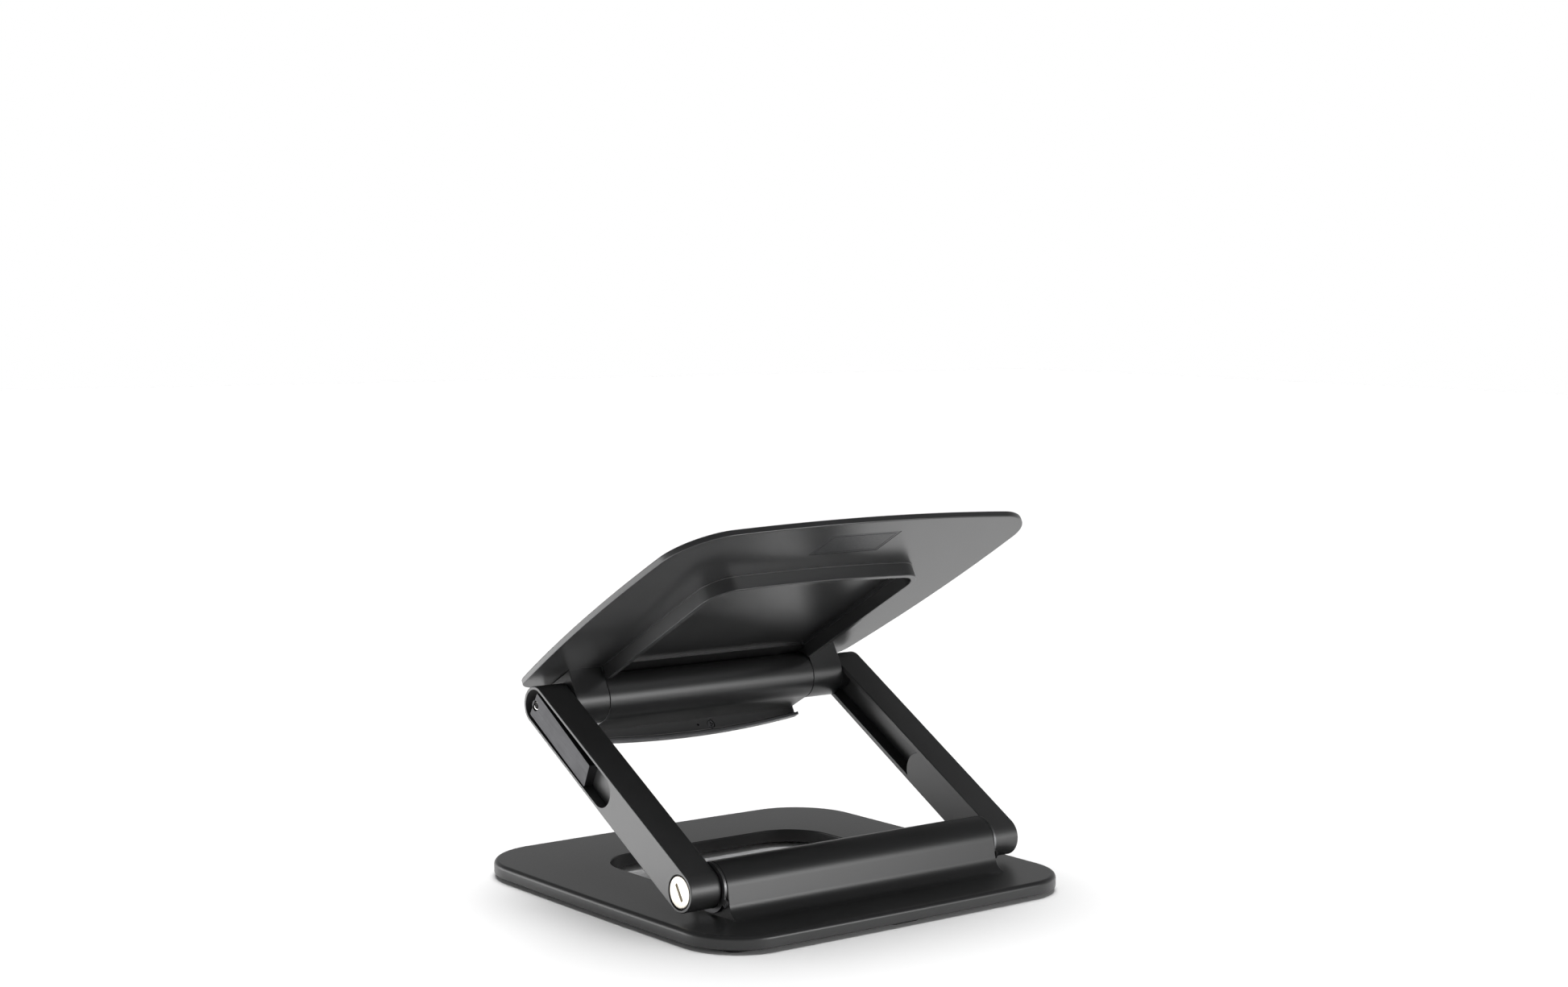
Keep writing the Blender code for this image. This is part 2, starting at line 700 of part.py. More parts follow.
def frame_edge(half, back, radius):
    """One side of the U-shaped rim: two legs joined by round corners and a slightly bowed back."""
    left = arc((half - radius, back - radius), radius, 0, 90, 5)
    right = arc((radius - half, back - radius), radius, 90, 180, 5)
    points = left + [(half / 3, back), (-half / 3, back)] + right
    bowed = [(x, y - FRAME_BACK_BOW * min(1, (x / (half - radius)) ** 2)) for x, y in points]
    return [(half, FRAME_FRONT)] + bowed + [(-half, FRAME_FRONT)]


def make_tray_frame():
    half, wall = FRAME_HALF_WIDTH, FRAME_WALL
    outer = frame_edge(half, FRAME_BACK, FRAME_CORNER)
    inner = frame_edge(half - wall, FRAME_BACK - wall, FRAME_CORNER - wall)
    frame = prism("XY", [outer + inner[::-1]], FRAME_RIM, TRAY_BOTTOM - GAP)
    holes = placed(screw_solid(1.5, 1, 1.4, 8), "+Z", frame_screw_places(TRAY_BOTTOM + 1))
    node("tray_frame", cut(frame, holes), POWDER_COAT, TRAY_FRAME)


def make_tray_lugs():
    """The blocks at the barrel's ends that hang the tray on its shafts."""
    end = math.degrees(math.acos(LUG_BACK / BARREL_RADIUS))
    top = TRAY_BOTTOM - GAP
    loop = [(-BARREL_RADIUS, top)] + arc((0, 0), BARREL_RADIUS, 180, 360 - end, 18) + [(LUG_BACK, top)]
    bore = circle((0, 0), SHAFT_RADIUS + GAP, 16)
    holes = placed(screw_solid(1.5, 1, 1.4, 8), "+Z", lug_screw_places(TRAY_BOTTOM + 1))
    lug = cut(prism("YZ", [loop], *LUG), prism("YZ", [bore], LUG[0] - 1, LUG[1] + 1), holes)
    node_pair("tray_lug", lug, POWDER_COAT, TRAY_FRAME)


def stop_outline(half, bottom, top):
    """The front stop's face: a curved lower edge and round upper corners."""
    corner = STOP_CORNER
    left = arc((half - corner, top - corner), corner, 0, 90, 4)
    right = arc((corner - half, top - corner), corner, 90, 180, 4)
    return stop_arc(bottom, half) + left + right


def make_front_stop():
    """The barrel tube, the tongue below it and the stop wall, as one piece."""
    half = TUBE_HALF_WIDTH
    inside_wall = STOP_WALL[1] - 1
    wall_bottom = FASCIA_BOTTOM + LIP_HEIGHT + GAP
    stop = join(
        prism("YZ", [circle((0, 0), BARREL_RADIUS, 36)], -half, half),
        prism("YZ", [box(inside_wall, -1.0, *TONGUE)], -half, half),
        prism("XZ", [stop_outline(STOP_HALF_WIDTH, wall_bottom, STOP_TOP)], *STOP_WALL),
        prism("YZ", [box(inside_wall, TRAY_FRONT - GAP, *DECK)], -half, half),
    )
    x, z = FASCIA_SCREW
    stop = cut(
        stop,
        prism("YZ", [circle((0, 0), BARREL_BORE, 24)], -half - 5, half + 5),
        placed(screw_solid(2.8, 1.4, 1.3, 6, 12), "+Y", [(x, STOP_WALL[1] + 0.1, z)]),
        placed(screw_solid(1.5, 1, 1.4, 7), "+Z", tube_screw_places(TRAY_BOTTOM + 1)),
    )
    node("front_stop", stop, POWDER_COAT, TRAY_FRAME)


def make_stop_fascia():
    """The cover on the front of the stop, whose lower lip turns back below the wall."""
    half = FASCIA_HALF_WIDTH
    bottom = FASCIA_BOTTOM
    lip = stop_arc(bottom, half) + stop_arc(bottom + LIP_HEIGHT, half)[::-1]
    x, z = FASCIA_SCREW
    fascia = join(
        prism("XZ", [stop_outline(half, bottom, STOP_TOP - GAP)], *FASCIA),
        prism("XZ", [lip], FASCIA[1] - 1, FASCIA_LIP),
    )
    hole = placed(screw_solid(1.4, 1, 1.3, 2.5, 12), "+Y", [(x, FASCIA[1] + 1, z)])
    node("stop_fascia", cut(fascia, hole), DARK_PLASTIC, TRAY_FRAME)
    screw = placed(screw_solid(*FASCIA_SCREW_SIZE, 12), "+Y", [(x, STOP_WALL[1] - 0.1, z)])
    node("fascia_screw", screw, DARK_STEEL, TRAY_FRAME)


def make_pads():
    """The silicone pads that the laptop touches."""
    face = rounded_box(-STOP_PAD_HALF_WIDTH, STOP_PAD_HALF_WIDTH, *STOP_PAD_HEIGHT, (3,) * 4, 4)
    pad = prism("XZ", [face], STOP_WALL[1] + GAP, LAPTOP_FRONT - 0.7)
    node("stop_pad", pad, RUBBER, TRAY_FRAME)
    strip = prism("XY", [rounded_box(*PAD, (PAD_CORNER,) * 4, 4)], PAD_FLOOR + GAP, LAPTOP_PLANE)
    node_pair("tray_pad", strip, RUBBER, TRAY_FRAME)


def make_label_plate():
    x0, x1, y0, y1 = LABEL
    low = TRAY_BOTTOM + 0.1
    plate = prism("XY", [box(x0 + GAP, x1 - GAP, y0 + GAP, y1 - GAP)], low, low + 0.4)
    node("label_plate", plate, DARK_PLASTIC, TRAY_FRAME)


clear_scene()
PARTS = collection("laptop_stand")
POWDER_COAT = material("powder_coat", (0.035, 0.037, 0.04), 0.32, 0.6)
LEAF_STEEL = material("leaf_steel", (0.12, 0.12, 0.125), 0.45, 0.8)
NICKEL = material("nickel", (0.78, 0.74, 0.66), 0.3, 1.0)
STEEL = material("steel", (0.6, 0.6, 0.6), 0.25, 1.0)
DARK_STEEL = material("dark_steel", (0.06, 0.06, 0.065), 0.4, 0.9)
BLACK_PLASTIC = material("black_plastic", (0.02, 0.02, 0.02), 0.5)
DARK_PLASTIC = material("dark_plastic", (0.04, 0.04, 0.042), 0.45)
RUBBER = material("rubber", (0.015, 0.015, 0.015), 0.8)
ARM_FRAME = axis_frame("lower_hinge_axis", LOWER_PIVOT, -ARM_ANGLE)
TRAY_FRAME = axis_frame("upper_hinge_axis", UPPER_PIVOT, TRAY_ANGLE)

make_base_plate()
make_base_cover()
make_hinge_brackets()
make_stop_plates()
make_arms()
make_pivot_bolts()
hinge_stack("pivot", (0, 0), BOLT_RADIUS + GAP, *PIVOT_STACK, BRACKET[0] - GAP)
make_hinge_leaves()
make_upper_shafts()
hinge_stack("upper", (-ARM_LENGTH, 0), SHAFT_RADIUS + GAP, *UPPER_STACK, LUG[0] - GAP)
make_tray_plate()
make_tray_screws()
make_tray_frame()
make_tray_lugs()
make_front_stop()
make_stop_fascia()
make_pads()
make_label_plate()
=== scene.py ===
"""Looks for the folding laptop stand. Every piece is built in millimetres in the frame of its body:
the base in the world's frame, the arms in a frame on the lower hinge and the tray in one on the upper."""

import json
import math

import bmesh
import bpy
from mathutils import Matrix, Vector
from mathutils.geometry import tessellate_polygon


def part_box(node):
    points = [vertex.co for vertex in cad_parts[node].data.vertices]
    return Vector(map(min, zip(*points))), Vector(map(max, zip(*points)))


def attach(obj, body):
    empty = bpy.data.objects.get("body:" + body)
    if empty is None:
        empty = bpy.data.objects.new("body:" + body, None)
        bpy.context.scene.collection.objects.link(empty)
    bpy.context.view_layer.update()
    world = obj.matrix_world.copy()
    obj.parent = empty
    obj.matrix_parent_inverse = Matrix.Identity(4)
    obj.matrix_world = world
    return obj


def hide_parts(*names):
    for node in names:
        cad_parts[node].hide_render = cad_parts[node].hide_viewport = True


MM = 0.001
GAP = 0.3
SHARP_ANGLE = math.radians(32)

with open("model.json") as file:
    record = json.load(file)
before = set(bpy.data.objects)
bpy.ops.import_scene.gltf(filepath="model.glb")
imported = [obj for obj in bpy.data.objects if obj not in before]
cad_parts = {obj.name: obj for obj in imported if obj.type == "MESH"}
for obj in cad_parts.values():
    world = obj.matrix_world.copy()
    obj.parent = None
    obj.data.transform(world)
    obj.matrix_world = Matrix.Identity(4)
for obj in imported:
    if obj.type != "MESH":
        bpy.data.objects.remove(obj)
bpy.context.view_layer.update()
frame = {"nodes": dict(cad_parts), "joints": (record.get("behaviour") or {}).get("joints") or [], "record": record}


# ---------------------------------------------------------------- frames and sizes from the CAD model

JOINTS = {joint["name"]: Vector(joint["pos_m"]) for joint in frame["joints"]}
MOUNTS = {mount["name"]: mount for mount in frame["record"]["mounts"]}
LOWER = JOINTS["lower_hinge"]
UPPER = JOINTS["upper_hinge"]
ARM_ANGLE = math.atan2(UPPER.z - LOWER.z, LOWER.y - UPPER.y)
TRAY_NORMAL = Vector(MOUNTS["tray_rest"]["axis"])
TRAY_ANGLE = math.atan2(-TRAY_NORMAL.y, TRAY_NORMAL.z)
WORLD = Matrix.Identity(4)
ARM_FRAME = Matrix.Translation(LOWER) @ Matrix.Rotation(-ARM_ANGLE, 4, "X")
TRAY_FRAME = Matrix.Translation(UPPER) @ Matrix.Rotation(TRAY_ANGLE, 4, "X")
ARM_LENGTH = (UPPER - LOWER).length / MM
PIVOT = (LOWER.y / MM, LOWER.z / MM)


def extent(node, axis):
    """A CAD node's lowest and highest coordinate along a world axis, in millimetres."""
    low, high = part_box(node)
    return low[axis] / MM, high[axis] / MM


def reach(node):
    """The nearest and farthest |X| of a left-hand node."""
    return extent(node, 0)


BASE_HALF_WIDTH = extent("base_plate", 0)[1]
BASE_HALF_DEPTH = extent("base_plate", 1)[1]
BASE_BOTTOM = extent("base_plate", 2)[0]
HOUSING_RADIUS = extent("base_plate", 2)[1] - PIVOT[1]
ARM_INNER, ARM_OUTER = reach("arm_left")
BASE_TOP = 9.8
BASE_BOW = 1.5
BASE_FRONT_CORNER = 40.0
BASE_BACK_CORNER = 34.0
OPENING_HALF_WIDTH = 76.6
OPENING_FRONT = -70.5
OPENING_BACK = 42.0
OPENING_CORNER = 28.0
COVER_INSET = 4.0
COVER_BOTTOM, COVER_TOP = extent("base_cover", 2)
HOUSING_HALF_WIDTH = 95.6
HOUSING_BORE = 10.5
HOUSING_END_WALL = 3.3
FLARE_RADIUS = 9.0
FLANK_SLOPE = 9.5
STOP_PLATE_RADIUS = 13.7
STOP_TIP_RADIUS = 16.4
STOP_TIP_ANGLE = -24
STOP_TIP_HALF_ANGLE = 8
BOLT_RADIUS = 4.0
BOLT_HEAD_RADIUS = 8.75
BOLT_LENGTH = 45
SLOT_HALF_LENGTH = 5.0
SLOT_HALF_WIDTH = 0.9
SLOT_DEPTH = 1.1
SLOT_ANGLE = math.radians(-28)
HEAD_SEAT = 2.4
ARM_RADIUS = 11.0
RECESS_RADIUS = 9.2
RECESS_START = 84.2
RECESS_FLOOR = 110.7
POCKET_HALF_WIDTH = 8.3
POCKET_FLOOR = 106.3
INSERT_TIP = 73.5
LEAF_CORNERS = ((162.2, -7.6), (98.4, -8.9), (100.2, 4.9), (162.2, 7.3))
LEAF_FACE = reach("hinge_leaf_left")[1]
PIN_RADIUS = 2.6
PIN_HOLLOW_SHIFT = (0.45, 1.25)
SHAFT_RADIUS = 5.0
SHAFT_SHOULDER = 108.7
SHAFT_END = 64

LAPTOP_FRONT = -15.1
LAPTOP_PLANE = 18.7
TRAY_TOP = 17.9
TRAY_BOTTOM = 14.2
TRAY_HALF_WIDTH = 127.6
TRAY_FRONT = -10.1
TRAY_BACK = 196.9
TRAY_SIDE_BOW = 9.4
TRAY_WIDEST = 115.0
TRAY_BACK_BOW = 8.5
TRAY_FRONT_BOW = 0.6
TRAY_FRONT_CORNER = 10.0
TRAY_BACK_CORNER = 28.0
LABEL = (-25.0, 24.0, 157.0, 182.0)
PAD = (70.0, 105.0, -3.0, 170.0)
PAD_CORNER = 10.0
PAD_FLOOR = 17.2
FRAME_HALF_WIDTH = 75.5
FRAME_WALL = 3.5
FRAME_FRONT = 15.9
FRAME_BACK = 138.9
FRAME_BACK_BOW = 2.5
FRAME_CORNER = 17.0
FRAME_RIM = 5.7
FLANGE = (0.7, 0.45)
FLOOR_LEVEL = 15.7
BARREL_RADIUS = 13.85
BARREL_BORE = 10.9
TUBE_HALF_WIDTH = 74.7
LUG = reach("tray_lug_left")
STOP_HALF_WIDTH = 75.9
STOP_WALL = (-20.6, -18.1)
STOP_TOP = 27.7
STOP_CORNER = 8.0
TONGUE = (-13.85, -11.3)
DECK = (14.3, 17.8)
FASCIA_HALF_WIDTH = 78.9
FASCIA = (-22.9, -20.9)
FASCIA_LIP = -17.4
FASCIA_BOTTOM = -23.3
LIP_HEIGHT = 1.8
STOP_ARC_RADIUS = 705.0
FASCIA_SCREW = (-12.2, -18.0)
TUBE_SCREW_X = 38.0
STOP_PAD = (-60, 60, 18.4, 26.4)


# ---------------------------------------------------------------- outlines


def arc(centre, radius, start, end, steps):
    """Points along an arc, with its angles in degrees."""
    angles = [math.radians(start + (end - start) * i / steps) for i in range(steps + 1)]
    return [(centre[0] + radius * math.cos(a), centre[1] + radius * math.sin(a)) for a in angles]


def circle(centre, radius, sides=64):
    return arc(centre, radius, 0, 360, sides)[:-1]


def box(x0, x1, y0, y1):
    return [(x0, y0), (x1, y0), (x1, y1), (x0, y1)]


def rounded_box(x0, x1, y0, y1, radii, steps=16):
    """A rectangle with its corner radii in the order front left, front right, back right, back left."""
    a, b, c, d = radii
    return (
        arc((x0 + a, y0 + a), a, 180, 270, steps)
        + arc((x1 - b, y0 + b), b, 270, 360, steps)
        + arc((x1 - c, y1 - c), c, 0, 90, steps)
        + arc((x0 + d, y1 - d), d, 90, 180, steps)
    )


def softened(loop, radius, steps=4):
    """A straight-sided loop with small round corners."""
    points = []
    for i, corner in enumerate(loop):
        here = Vector(corner)
        back = (Vector(loop[i - 1]) - here).normalized() * radius
        ahead = (Vector(loop[(i + 1) % len(loop)]) - here).normalized() * radius
        for step in range(steps + 1):
            t = step / steps
            points.append(tuple(here + back * (1 - t) ** 2 + ahead * t**2))
    return points


def divided(loop, longest):
    """The loop with points added on its long straight sides."""
    points = []
    for start, end in zip(loop, loop[1:] + loop[:1]):
        pieces = max(1, math.ceil(math.dist(start, end) / longest))
        for i in range(pieces):
            t = i / pieces
            points.append((start[0] + (end[0] - start[0]) * t, start[1] + (end[1] - start[1]) * t))
    return points


def base_outline(inset=0.0):
    """The base's outline: a rounded rectangle whose four sides swell by BASE_BOW at their middles."""
    w = BASE_HALF_WIDTH - inset
    d = BASE_HALF_DEPTH - inset
    front = BASE_FRONT_CORNER - inset
    back = BASE_BACK_CORNER - inset
    loop = divided(rounded_box(-w, w, -d, d, (front, front, back, back), 20), 9)
    return [
        (x * (1 - BASE_BOW / w * (y / d) ** 2), y * (1 - BASE_BOW / d * (x / w) ** 2)) for x, y in loop
    ]


def opening_outline(grow=0.0):
    radius = OPENING_CORNER + grow
    half = OPENING_HALF_WIDTH + grow
    return rounded_box(-half, half, OPENING_FRONT - grow, OPENING_BACK + grow, (radius,) * 4, 18)


def tray_outline():
    """The tray's outline, widest behind its middle, with crowned front and back edges."""
    w = TRAY_HALF_WIDTH
    front = TRAY_FRONT_CORNER
    back = TRAY_BACK_CORNER
    loop = divided(rounded_box(-w, w, TRAY_FRONT, TRAY_BACK, (front, front, back, back), 20), 8)
    half_span = TRAY_WIDEST - TRAY_FRONT
    length = TRAY_BACK - TRAY_FRONT
    points = []
    for x, y in loop:
        narrowing = TRAY_SIDE_BOW / w * ((y - TRAY_WIDEST) / half_span) ** 2
        along = (y - TRAY_FRONT) / length
        bow = TRAY_FRONT_BOW * (1 - along) - TRAY_BACK_BOW * along
        points.append((x * (1 - narrowing), y + bow * (x / w) ** 2))
    return points


def stadium(start, end, radius, steps=28):
    """A slot outline along the arm, in the arm's frame, where the arm runs towards -Y."""
    return arc((-start, 0), radius, -90, 90, steps) + arc((-end, 0), radius, 90, 270, steps)


def stop_arc(middle, half_width, steps=40):
    """The front stop's curved lower edge, from -X to +X."""
    points = []
    for i in range(steps + 1):
        x = half_width * (2 * i / steps - 1)
        points.append((x, middle + STOP_ARC_RADIUS - math.sqrt(STOP_ARC_RADIUS**2 - x**2)))
    return points


def stop_outline(half, bottom, top):
    """The front stop's face: a curved lower edge and round upper corners."""
    corner = STOP_CORNER
    left = arc((half - corner, top - corner), corner, 0, 90, 12)
    right = arc((corner - half, top - corner), corner, 90, 180, 12)
    return stop_arc(bottom, half) + left + right


def frame_edge(half, back, radius):
    """One side of the U-shaped rim: two legs joined by round corners and a slightly bowed back."""
    left = arc((half - radius, back - radius), radius, 0, 90, 16)
    right = arc((radius - half, back - radius), radius, 90, 180, 16)
    across = [(half * (1 - 2 * i / 12) * 0.77, back) for i in range(1, 12)]
    points = left + across + right
    bowed = [(x, y - FRAME_BACK_BOW * min(1, (x / (half - radius)) ** 2)) for x, y in points]
    return [(half, FRAME_FRONT)] + bowed + [(-half, FRAME_FRONT)]


# ---------------------------------------------------------------- solids

PLANES = {
    "XY": Matrix(((1, 0, 0, 0), (0, 1, 0, 0), (0, 0, 1, 0), (0, 0, 0, 1))),
    "YZ": Matrix(((0, 0, 1, 0), (1, 0, 0, 0), (0, 1, 0, 0), (0, 0, 0, 1))),
    "XZ": Matrix(((1, 0, 0, 0), (0, 0, -1, 0), (0, 1, 0, 0), (0, 0, 0, 1))),
}


def area(loop):
    return sum(a[0] * b[1] - b[0] * a[1] for a, b in zip(loop, loop[1:] + loop[:1])) / 2


def offset(loop, distance):
    """The loop moved to the right of its direction, which is away from the material."""
    moved = []
    for i, (x, y) in enumerate(loop):
        before = loop[i - 1]
        after = loop[(i + 1) % len(loop)]
        first = Vector((x - before[0], y - before[1])).normalized()
        second = Vector((after[0] - x, after[1] - y)).normalized()
        normal = Vector((first.y + second.y, -first.x - second.x))
        scale = 2 * distance / max(normal.length_squared, 1.0)
        moved.append((x + normal.x * scale, y + normal.y * scale))
    return moved


def rounded_levels(low, high, round_low, round_high, steps):
    """(height, offset) pairs up a side whose lower and upper edges are rounded."""
    levels = []
    for i in range(steps + 1):
        t = math.radians(90 * i / steps)
        levels.append((low + round_low * (1 - math.cos(t)), round_low * (math.sin(t) - 1)))
    for i in range(steps + 1):
        t = math.radians(90 * i / steps)
        levels.append((high - round_high * (1 - math.sin(t)), round_high * (math.cos(t) - 1)))
    unique = [levels[0]]
    for level in levels[1:]:
        if math.dist(level, unique[-1]) > 1e-4:
            unique.append(level)
    return unique


def flared_levels(floor, surface, flare, beyond, steps=5):
    """(height, offset) pairs for a cutter that rounds the rim it leaves on a surface above its floor."""
    levels = [(floor, 0.0)]
    for i in range(steps + 1):
        t = math.radians(82 * i / steps)
        levels.append((surface - flare * (1 - math.sin(t)), flare * (1 - math.cos(t))))
    levels.append((surface + beyond, levels[-1][1]))
    return levels


def finished(work, mesh):
    """Points the faces of a closed solid out and stores it in a mesh."""
    bmesh.ops.recalc_face_normals(work, faces=work.faces)
    if work.calc_volume(signed=True) < 0:
        bmesh.ops.reverse_faces(work, faces=work.faces)
    work.to_mesh(mesh)
    work.free()


def lofted(plane, loops, levels):
    """A closed solid whose outlines follow (height, offset) levels along the axis square to a plane."""
    turned = [loops[0] if area(loops[0]) > 0 else loops[0][::-1]]
    turned += [hole if area(hole) < 0 else hole[::-1] for hole in loops[1:]]
    work = bmesh.new()
    rings = []
    for height, distance in levels:
        ring = []
        for loop in turned:
            points = offset(loop, distance) if distance else loop
            ring.append([work.verts.new((x * MM, y * MM, height * MM)) for x, y in points])
        rings.append(ring)
    for lower, upper in zip(rings, rings[1:]):
        for a, b in zip(lower, upper):
            for i in range(len(a)):
                j = (i + 1) % len(a)
                work.faces.new((a[i], a[j], b[j], b[i]))
    for ring in (rings[0], rings[-1]):
        verts = [vert for loop in ring for vert in loop]
        for triangle in tessellate_polygon([[vert.co for vert in loop] for loop in ring]):
            work.faces.new([verts[i] for i in triangle])
    mesh = bpy.data.meshes.new("solid")
    finished(work, mesh)
    mesh.transform(PLANES[plane])
    return mesh


def slab(plane, loops, low, high, round_low=0.0, round_high=0.0, steps=4):
    """An outline with holes, from low to high, with rounded edges. In XZ, low and high are along -Y."""
    return lofted(plane, loops, rounded_levels(low, high, round_low, round_high, steps))


def sunk(plane, loop, floor, surface, flare=0.0):
    """A cutter from a floor up through a surface above it, whose rim it rounds."""
    return lofted(plane, [loop], flared_levels(floor, surface, flare, 2.0))


def turned(profile, sides=48):
    """A solid turned about Z from (radius, height) points that run from the top to the bottom."""
    outline = bpy.data.meshes.new("profile")
    edges = [(i, i + 1) for i in range(len(profile) - 1)]
    outline.from_pydata([(r * MM, 0, z * MM) for r, z in profile], edges, [])
    source = bpy.data.objects.new("turned", outline)
    screw = source.modifiers.new("Screw", "SCREW")
    screw.steps = sides
    screw.render_steps = sides
    screw.use_merge_vertices = True
    screw.merge_threshold = 0.00001
    mesh = evaluated(source)
    work = bmesh.new()
    work.from_mesh(mesh)
    bmesh.ops.remove_doubles(work, verts=work.verts, dist=1e-7)
    finished(work, mesh)
    return mesh


def evaluated(source):
    """The mesh that a temporary object makes. The object is removed."""
    bpy.context.scene.collection.objects.link(source)
    graph = bpy.context.evaluated_depsgraph_get()
    mesh = bpy.data.meshes.new_from_object(source.evaluated_get(graph))
    bpy.data.objects.remove(source)
    return mesh


def combined(solid, tool, operation):
    target = bpy.data.objects.new("solid", solid)
    helper = bpy.data.objects.new("tool", tool)
    bpy.context.scene.collection.objects.link(helper)
    boolean = target.modifiers.new("Boolean", "BOOLEAN")
    boolean.operation = operation
    boolean.object = helper
    mesh = evaluated(target)
    bpy.data.objects.remove(helper)
    return mesh


def cut(solid, *tools):
    for tool in tools:
        solid = combined(solid, tool, "DIFFERENCE")
    return solid


def join(solid, *tools):
    for tool in tools:
        solid = combined(solid, tool, "UNION")
    return solid


def mirrored(mesh):
    copy = mesh.copy()
    copy.transform(Matrix.Scale(-1, 4, (1, 0, 0)))
    copy.flip_normals()
    return copy


def piece(name, mesh, body, look, place=WORLD, nodes=()):
    """A finished piece: shaded, given its material, put in its frame and riding on its body."""
    mesh.materials.clear()
    mesh.materials.append(look)
    mesh.shade_smooth()
    mesh.set_sharp_from_angle(angle=SHARP_ANGLE)
    obj = bpy.data.objects.new(name, mesh)
    bpy.context.scene.collection.objects.link(obj)
    obj.matrix_world = place
    weighted = obj.modifiers.new("Weighted normals", "WEIGHTED_NORMAL")
    weighted.keep_sharp = True
    weighted.weight = 100
    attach(obj, body)
    if nodes:
        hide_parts(*nodes)
    return obj


def pair(name, mesh, body, look, place=WORLD, nodes=None):
    """A left-hand piece and its mirror image, each standing for CAD nodes, or for the one of its name."""
    for side, solid in (("left", mesh), ("right", mirrored(mesh))):
        stood_for = [f"{node}_{side}" for node in nodes or [name]]
        piece(f"{name}_{side}_look", solid, body, look, place, stood_for)


# ---------------------------------------------------------------- materials


class Look:
    """A Principled material built node by node."""

    def __init__(self, name, colour, roughness, metallic=0.0):
        self.material = bpy.data.materials.new(name)
        self.material.use_nodes = True
        self.nodes = self.material.node_tree.nodes
        self.links = self.material.node_tree.links
        self.shader = self.nodes["Principled BSDF"]
        self.shader.inputs["Metallic"].default_value = metallic
        self.shader.inputs["Roughness"].default_value = roughness
        self.shader.inputs["Base Color"].default_value = (*colour, 1)
        self.colour = colour
        self.place = self.nodes.new("ShaderNodeTexCoord").outputs["Object"]
        self.mixed = None

    def noise(self, scale, detail=2.0, stretch=(1, 1, 1)):
        mapping = self.nodes.new("ShaderNodeMapping")
        mapping.inputs["Scale"].default_value = stretch
        self.links.new(self.place, mapping.inputs["Vector"])
        noise = self.nodes.new("ShaderNodeTexNoise")
        noise.inputs["Scale"].default_value = scale
        noise.inputs["Detail"].default_value = detail
        self.links.new(mapping.outputs["Vector"], noise.inputs["Vector"])
        return noise.outputs["Fac"]

    def ranged(self, value, low, high, start=0.3, end=0.7):
        node = self.nodes.new("ShaderNodeMapRange")
        node.inputs["From Min"].default_value = start
        node.inputs["From Max"].default_value = end
        node.inputs["To Min"].default_value = low
        node.inputs["To Max"].default_value = high
        self.links.new(value, node.inputs["Value"])
        return node.outputs["Result"]

    def vary_roughness(self, scale, low, high, stretch=(1, 1, 1)):
        value = self.ranged(self.noise(scale, 2.0, stretch), low, high)
        self.links.new(value, self.shader.inputs["Roughness"])

    def vary_colour(self, scale, other, stretch=(1, 1, 1)):
        """Drifts the base colour towards another one."""
        mix = self.nodes.new("ShaderNodeMix")
        mix.data_type = "RGBA"
        mix.inputs["A"].default_value = (*self.colour, 1)
        mix.inputs["B"].default_value = (*other, 1)
        self.links.new(self.ranged(self.noise(scale, 3.0, stretch), 0.0, 1.0), mix.inputs["Factor"])
        self.links.new(mix.outputs["Result"], self.shader.inputs["Base Color"])
        self.mixed = mix.outputs["Result"]

    def worn_edges(self, bare, amount):
        """Lightens the edges, where a rounded normal leaves the face's own, broken up by noise."""
        rounded = self.nodes.new("ShaderNodeBevel")
        rounded.samples = 4
        rounded.inputs["Radius"].default_value = 0.5 * MM
        geometry = self.nodes.new("ShaderNodeNewGeometry")
        facing = self.nodes.new("ShaderNodeVectorMath")
        facing.operation = "DOT_PRODUCT"
        self.links.new(rounded.outputs["Normal"], facing.inputs[0])
        self.links.new(geometry.outputs["Normal"], facing.inputs[1])
        edge = self.ranged(facing.outputs["Value"], 1.0, 0.0, 0.8, 0.99)
        patches = self.ranged(self.noise(260, 6.0), 0.0, amount, 0.45, 0.7)
        mask = self.nodes.new("ShaderNodeMath")
        mask.operation = "MULTIPLY"
        self.links.new(edge, mask.inputs[0])
        self.links.new(patches, mask.inputs[1])
        mix = self.nodes.new("ShaderNodeMix")
        mix.data_type = "RGBA"
        self.links.new(mask.outputs["Value"], mix.inputs["Factor"])
        self.links.new(self.mixed, mix.inputs["A"])
        mix.inputs["B"].default_value = (*bare, 1)
        self.links.new(mix.outputs["Result"], self.shader.inputs["Base Color"])

    def grain(self, scale, depth_mm, detail=3.0, stretch=(1, 1, 1)):
        """Fine surface relief."""
        bump = self.nodes.new("ShaderNodeBump")
        bump.inputs["Strength"].default_value = 1.0
        bump.inputs["Distance"].default_value = depth_mm * MM
        self.links.new(self.noise(scale, detail, stretch), bump.inputs["Height"])
        self.links.new(bump.outputs["Normal"], self.shader.inputs["Normal"])


def coat_look(name, colour, roughness, specular=0.62):
    """Fine satin powder coat over aluminium."""
    look = Look(name, colour, roughness)
    look.shader.inputs["Specular IOR Level"].default_value = specular
    look.vary_roughness(1400, roughness - 0.01, roughness + 0.015)
    look.vary_colour(45, tuple(c * 1.15 for c in colour))
    look.worn_edges((0.09, 0.09, 0.095), 0.35)
    look.grain(2600, 0.0012)
    return look.material


def metal_look(name, colour, roughness, stretch):
    """Plated or turned metal with fine tool lines."""
    look = Look(name, colour, roughness, 1.0)
    look.vary_roughness(900, roughness - 0.02, roughness + 0.1, stretch)
    look.vary_colour(150, tuple(c * 0.82 for c in colour))
    look.worn_edges(tuple(min(1, c * 1.2) for c in colour), 0.6)
    look.grain(1500, 0.003, 2.0, stretch)
    return look.material


